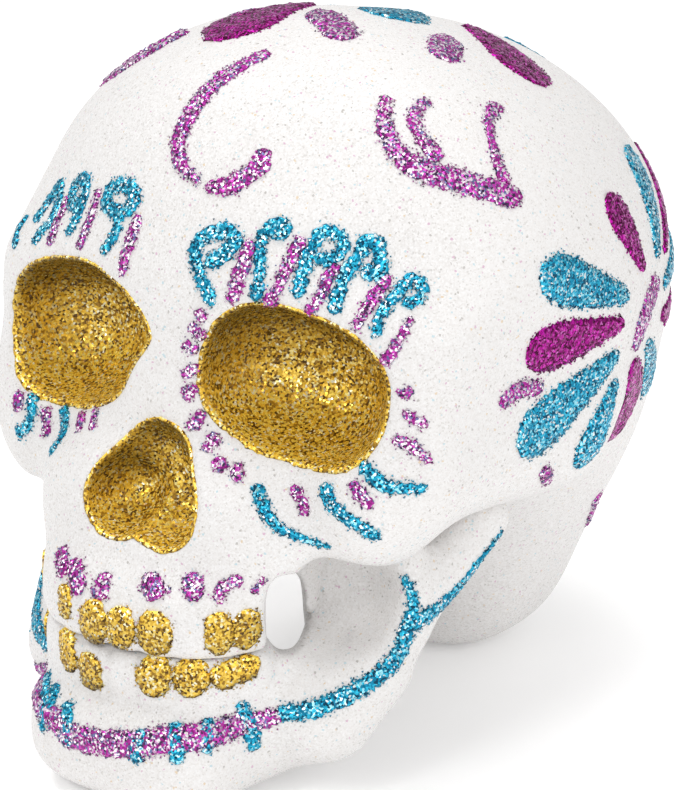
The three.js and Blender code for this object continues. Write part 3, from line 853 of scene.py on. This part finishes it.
left_lashes = [
    [(left_loop_1, (1.5, 1.5, 1.8, 2, 1.9))],
    [(left_head_2, (3.2, 3.2)), (left_stem_2, (1.3, 1.4, 1.6))],
    [(left_loop_3, (1.6, 1.5, 1.5))],
    [(left_loop_4, (1.5, 1.6, 1.9))],
    [(left_loop_5, (1.2, 1.4, 1.2))],
]
right_lashes = [
    [(right_loop_1, (1.3, 1.5, 1.9, 1.9))],
    [(right_loop_2, (1.4, 1.6, 1.7))],
    [(right_loop_3, (1.3, 1.6, 1.6))],
    [(right_stem_4, (1, 1))],
]
for side, lashes in (("left", left_lashes), ("right", right_lashes)):
    for i, strokes in enumerate(lashes, 1):
        name = f"lash_{side}_{i}"
        paint("loop_" + name, skull_field, seen_at, strokes, turquoise, name)

# Small strokes round the sockets. Purple glitter glue between the lashes, in short dots and dashes at the
# left socket's corners and in strokes under both sockets, and turquoise drips under both, drawn freehand.
purple_shades = [
    (0, (0.05, 0.02, 0.07)),
    (0.15, (0.3, 0.012, 0.22)),
    (0.4, (0.5, 0.04, 0.4)),
    (0.56, (0.15, 0.16, 0.34)),
    (0.68, (0.5, 0.28, 0.46)),
    (0.76, (0.95, 0.86, 0.93)),
]
purple = glitter_glue("purple_glitter", purple_shades, metallic=0.6, size_mm=0.48, tilt=0.9)
between_lashes = [
    ([(251, 240), (245, 260), (236, 286), (230, 303)], (1.6, 1.75, 1.5)),
    ([(303, 237), (294, 253), (283, 276), (268, 305)], (1.5, 1.6, 1.4)),
    ([(339, 265), (328, 278), (318, 300), (306, 313)], (1.3, 1.3)),
    ([(389, 275), (374, 298), (361, 319), (353, 330)], (1.5, 1.5, 0.8)),
    ([(412, 316), (399, 340), (390, 355), (383, 365)], (0.6, 1.2, 1.4)),
]
between_far_lashes = [
    ([(139, 215), (132, 236), (124, 261), (122, 276)], (1.4, 1.4)),
    ([(99, 189), (92, 214), (84, 234), (79, 249)], (1.2, 1.2)),
    ([(69, 196), (57, 223), (49, 246)], (1.2, 1.2)),
]
inner_dots = [
    ([(194, 312), (207, 319)], (1.3, 1.3)),
    ([(189, 325), (206, 338)], (1.4, 1.4)),
    ([(182, 344), (198, 352)], (1.4, 1.4)),
    ([(182, 377), (199, 366)], (1.2, 1.2)),
    ([(183, 398), (198, 386)], (1.4, 1.4)),
    ([(189, 430), (204, 411)], (1.4, 1.4)),
    ([(203, 451), (219, 434)], (1.4, 1.4)),
    ([(216, 472), (223, 457)], (1.7, 1.7)),
    ([(238, 482), (237, 463)], (1.5, 1.5)),
]
outer_dashes = [
    ([(397, 394), (414, 391)], (1.3, 1.2)),
    ([(404, 411), (412, 419), (428, 426)], (1.1, 1.1)),
    ([(392, 440), (409, 445), (432, 463)], (1.4, 1.4, 0.9)),
]
low_strokes = [
    ([(292, 486), (302, 501), (305, 516)], (1.3, 1.1)),
    ([(351, 482), (361, 495), (372, 508)], (1.7, 1.3)),
]
drips = [
    ([(256, 484), (265, 509), (277, 526), (298, 537), (330, 547)], (1.6, 1.4, 1.1, 0.6)),
    ([(326, 482), (328, 501), (344, 516), (363, 528), (380, 539)], (1.7, 1.6, 1.2)),
    ([(361, 463), (374, 478), (391, 487), (411, 489), (428, 488)], (1.5, 1.5, 1)),
]
far_low_strokes = [
    ([(18, 391), (18, 412)], (1.5, 1.3)),
    ([(46, 407), (46, 437)], (1.4, 1.2)),
    ([(82, 411), (79, 432)], (1.2, 1)),
    ([(95, 409), (92, 430)], (0.9, 0.9)),
]
far_drips = [
    ([(34, 393), (29, 424), (17, 435)], (1.3, 1.2)),
    ([(64, 407), (64, 432), (50, 453)], (1.6, 1.2)),
]
paint("strokes_between_lashes", skull_field, seen_at, between_lashes, purple)
paint("strokes_between_far_lashes", skull_field, seen_at, between_far_lashes, purple)
paint("dots_at_inner_corner", skull_field, seen_at, inner_dots, purple)
paint("dashes_at_outer_corner", skull_field, seen_at, outer_dashes, purple)
paint("strokes_under_socket", skull_field, seen_at, low_strokes, purple)
paint("drips_under_socket", skull_field, seen_at, drips, turquoise)
paint("strokes_under_far_socket", skull_field, seen_at, far_low_strokes, purple)
paint("drips_under_far_socket", skull_field, seen_at, far_drips, turquoise)

# Flowers on the temples. Eleven petals of magenta and turquoise glitter glue round a slim purple heart, each
# petal squeezed out thick at its round outer end and drawn in to a tip. Places are longitude and latitude in
# degrees about the middle of the skull, from the face towards the skull's left.
skull_core = np.array([0, 0, 90.0])
outside_skull = 150
magenta_shades = [
    (0, (0.06, 0, 0.03)),
    (0.25, (0.17, 0.001, 0.1)),
    (0.5, (0.36, 0.004, 0.24)),
    (0.77, (0.74, 0.008, 0.54)),
    (0.95, (0.85, 0.22, 0.74)),
]
magenta = glitter_glue("magenta_glitter", magenta_shades, metallic=0.8, size_mm=0.48, tilt=0.9)
heart = [([(112, 13), (105.5, 7.5), (102.5, 2.5)], (2.8, 3.4, 2.6))]
petals = [
    ((126, 33), (113.5, 16), 5.2, turquoise),
    ((101, 31), (106, 16), 5.4, magenta),
    ((74, 23.5), (98.5, 13.5), 5.7, turquoise),
    ((71, 10), (97, 9.5), 5.8, magenta),
    ((70, -8), (96.5, 4), 6.2, turquoise),
    ((87.5, -16.5), (96.5, -1), 4.8, turquoise),
    ((119, -21), (103, 0), 8.5, magenta),
    ((130, -14), (109, 2), 4, turquoise),
    ((140, -1), (116, 5), 4.2, magenta),
    ((141, 11), (116, 10.5), 4.2, turquoise),
    ((142, 27), (118.5, 15), 3.8, magenta),
]
petal_profile = np.array([0.72, 0.98, 1, 0.85, 0.66, 0.46, 0.25])


def round_core(places):
    """Rays from outside towards the middle of the skull."""
    longitude, latitude = np.radians(places).T
    outward = np.column_stack(
        [np.sin(longitude) * np.cos(latitude), -np.cos(longitude) * np.cos(latitude), np.sin(latitude)]
    )
    return skull_core + outward * outside_skull, -outward


for side, far_side in (("left", False), ("right", True)):
    paint(f"heart_{side}", skull_field, round_core, heart, purple, f"flower_{side}_heart", far_side)
    for i, (outer, inner, half, colour) in enumerate(petals, 1):
        strokes = [([outer, inner], half * petal_profile)]
        node = f"flower_{side}_petal_{i}"
        paint(f"petal_{side}_{i}", skull_field, round_core, strokes, colour, node, far_side)

small_leaves = [
    ([(499, 405), (520, 390), (543, 388)], (1.6, 2.2, 1.4)),
    ([(545, 466), (547, 484)], (1.9, 1)),
    ([(598, 495), (587, 524)], (1.6, 1)),
]
paint("leaves_left", skull_field, seen_at, small_leaves, purple)
paint("leaves_right", skull_field, seen_at, small_leaves, purple, mirror=True)

# Scrolls on the forehead. Purple glitter glue in one hook near the middle, and on each side a long curl with
# two stems, drawn freehand. The right one, which the photo mostly hides, is given by longitude and latitude.
middle_scroll = [
    (
        [(269, 52), (245, 64), (218, 81), (196, 105), (182, 130), (178, 149), (184, 168), (201, 182)],
        (1.7, 2.1, 2.3, 2.2, 1.7, 0.8),
    ),
    ([(206, 185), (214, 187), (232, 184), (250, 173), (263, 161), (257, 151)], (1.1, 2.1, 2.4, 2)),
]
left_curl = [(387, 96), (384, 120), (392, 144), (406, 161), (428, 172)]
left_curl += [(455, 180), (484, 188), (510, 195), (520, 192)]
left_scroll = [
    (left_curl, (1.2, 1.9, 2.2, 2.6, 2.9, 2.9, 2.9, 2.2)),
    ([(430, 101), (417, 108), (414, 122), (424, 142), (440, 160)], (1.2, 1.5, 1.3, 2.4)),
    ([(499, 105), (489, 118), (492, 140), (497, 160), (506, 184)], (2.2, 1, 0.9, 1.3, 1.7)),
]
right_curl = [(-63, 63), (-60.5, 58), (-61.5, 53), (-63.5, 49.5)]
right_curl += [(-67, 46.5), (-72.5, 44.5), (-78, 43), (-85, 40.5)]
right_scroll = [
    (right_curl, (1.2, 1.9, 2.2, 2.6, 2.9, 2.9, 2.2)),
    ([(-75, 60), (-70.5, 59), (-68.5, 55.5), (-69.5, 52), (-71.5, 48)], (1.2, 1.5, 1.3, 2.4)),
    ([(-97.5, 57), (-89, 54.5), (-86.5, 51), (-84.5, 46.5), (-83.5, 42.5)], (2.2, 1, 0.9, 1.3, 1.7)),
]
paint("hook_middle", skull_field, seen_at, middle_scroll, purple, "scroll_middle")
paint("curl_left", skull_field, seen_at, left_scroll, purple, "scroll_left")
paint("curl_right", skull_field, round_core, right_scroll, purple, "scroll_right")

# Flower on the crown. Six petals of magenta and turquoise glitter glue with three purple dots between them,
# made like the temples' petals. Places are x and y in millimetres, seen from above.
crown_petals = [
    ((42, 19.5), (13, 33.5), 8, magenta),
    ((8, 5.5), (4, 26), 8.6, turquoise),
    ((-18, -24), (-14, 8), 10, magenta),
    ((-41, 26), (-18, 24), 6, turquoise),
    ((-22, 57), (-8, 38), 6, magenta),
    ((22, 65), (12, 50), 4.6, turquoise),
]
crown_dots = [[(-4, -3), (13, -15)], [(23, 10), (31.5, -3.5)], [(-36, 8), (-28, 4)]]
crown_dot_halves = (4, 4)
above_crown = 200.0


def from_above(places):
    """Rays straight down onto the crown."""
    start = np.column_stack([places, np.full(len(places), above_crown)])
    return start, np.tile([0, 0, -1.0], (len(places), 1))


for i, (outer, inner, half, colour) in enumerate(crown_petals, 1):
    strokes = [([outer, inner], half * petal_profile)]
    paint(f"top_petal_{i}", skull_field, from_above, strokes, colour, f"crown_petal_{i}")
for i, path in enumerate(crown_dots, 1):
    strokes = [(path, crown_dot_halves)]
    paint(f"top_dot_{i}", skull_field, from_above, strokes, purple, f"crown_dot_{i}")

# Dots over the teeth. Small dabs of purple glitter glue along the upper gum, about one to a tooth, squeezed
# on freehand.
gum_dots = [
    ([(62, 547), (62, 578)], (1.9, 1.9)),
    ([(74, 559), (79, 595)], (2.2, 2.4)),
    ([(107, 572), (97, 600)], (1.4, 2.9)),
    ([(149, 573), (156, 600)], (2.6, 3)),
    ([(158, 593), (171, 589)], (1, 0.7)),
    ([(194, 572), (192, 601)], (2.4, 2.4)),
    ([(219, 604), (222, 588), (243, 579)], (1.4, 1.3, 1.3)),
    ([(253, 594), (264, 577)], (0.7, 0.7)),
]
paint("dots_over_teeth", skull_field, seen_at, gum_dots, purple)

# Chin band. A broad purple line of glitter glue, drawn along the chin from side to side, with short turquoise
# strokes drawn across it.
chin_line = [(37, 666), (39, 704), (54, 718), (68, 735), (96, 742), (135, 744)]
chin_line += [(169, 739), (202, 737), (227, 729), (250, 722), (282, 715)]
chin_band = [(chin_line, (1.8, 2.6, 3.1, 3.1, 2.8, 1.8))]
chin_strokes = [
    ([(48, 672), (42, 731)], (1.3, 1.3)),
    ([(57, 683), (49, 712)], (1.3, 1.3)),
    ([(68, 701), (67, 747)], (1.6, 1.6)),
    ([(142, 729), (134, 762)], (1.6, 2)),
    ([(174, 722), (178, 764)], (1.6, 2)),
    ([(209, 718), (207, 754)], (1.8, 1.6)),
    ([(240, 702), (249, 724), (255, 750)], (1.2, 2.1, 1.6)),
]
paint("band_on_chin", jaw_field, seen_at, chin_band, purple, "chin_band")
paint("strokes_on_chin", jaw_field, seen_at, chin_strokes, turquoise)

# Jaw lines. A turquoise line of glitter glue along each side of the jaw, which forks under the cheekbone. The
# photo shows the left one, and the right one is its mirror image.
along_jaw = [(275, 714), (306, 710), (336, 701), (367, 684), (390, 665), (402, 649), (407, 630), (413, 619)]
jaw_line = [
    (along_jaw, (1.8, 2.1, 2.1, 2)),
    ([(407, 630), (413, 607), (411, 592), (403, 576)], (1.9, 1.4, 0.8)),
    ([(411, 626), (432, 613), (451, 596), (467, 577), (482, 557), (503, 530)], (2, 1.7, 1.2, 0.7)),
]
for side, far_side in (("left", False), ("right", True)):
    paint(f"line_on_jaw_{side}", jaw_field, seen_at, jaw_line, turquoise, f"jaw_line_{side}", far_side)

# Studio. A floor of pale paper that glows faintly, soft lights above, in front and on both sides, and a
# camera where the photo was taken.
image_size = (680, 790)
middle_of_skull = Vector((0, 0, 0.08))
lights = [
    ("key_in_front", (0.05, -0.95, 0.8), 0.3, 2.6),
    ("fill_right", (0.95, -0.2, 0.5), 0.7, 2.9),
    ("top", (0, 0.1, 1.1), 0.5, 3.4),
    ("high_left", (-0.65, -0.2, 1.05), 0.25, 2.8),
]
sky_strength = 0.64
floor_half = 6
floor_corners = [
    (-floor_half, -floor_half, 0),
    (floor_half, -floor_half, 0),
    (floor_half, floor_half, 0),
    (-floor_half, floor_half, 0),
]
paper_values = {
    "Base Color": (0.97, 0.97, 0.97, 1),
    "Roughness": 0.9,
    "Emission Color": (1, 1, 1, 1),
    "Emission Strength": 0.15,
}
for name, place, size, power in lights:
    light = bpy.data.lights.new(name, "AREA")
    light.size = size
    light.energy = power
    lamp = bpy.data.objects.new(name, light)
    lamp.location = place
    lamp.rotation_mode = "QUATERNION"
    lamp.rotation_quaternion = (middle_of_skull - Vector(place)).to_track_quat("-Z", "Y")
    bpy.context.collection.objects.link(lamp)

world = bpy.data.worlds.new("studio")
world.use_nodes = True
sky = world.node_tree.nodes["Background"]
sky.inputs["Color"].default_value = (1, 1, 1, 1)
sky.inputs["Strength"].default_value = sky_strength
bpy.context.scene.world = world

floor_mesh = bpy.data.meshes.new("floor")
floor_mesh.from_pydata(floor_corners, [], [(0, 1, 2, 3)])
floor_finish = bpy.data.materials.new("floor_paper")
floor_finish.use_nodes = True
paper = floor_finish.node_tree.nodes["Principled BSDF"]
for socket, value in paper_values.items():
    paper.inputs[socket].default_value = value
floor_mesh.materials.append(floor_finish)
floor = bpy.data.objects.new("floor", floor_mesh)
bpy.context.collection.objects.link(floor)

camera_data = bpy.data.cameras.new("camera")
camera_data.sensor_width = 36
camera_data.lens = focal_pixels * camera_data.sensor_width / max(image_size)
camera_data.shift_x = (image_size[0] / 2 - image_middle[0]) / max(image_size)
camera_data.shift_y = (image_middle[1] - image_size[1] / 2) / max(image_size)
camera = bpy.data.objects.new("camera", camera_data)
camera.location = Vector(to_frame(camera_target + camera_back * camera_distance))
camera.rotation_mode = "QUATERNION"
camera.rotation_quaternion = Vector(-camera_back).to_track_quat("-Z", "Y")
bpy.context.collection.objects.link(camera)
bpy.context.scene.camera = camera
bpy.context.scene.view_settings.view_transform = "Standard"
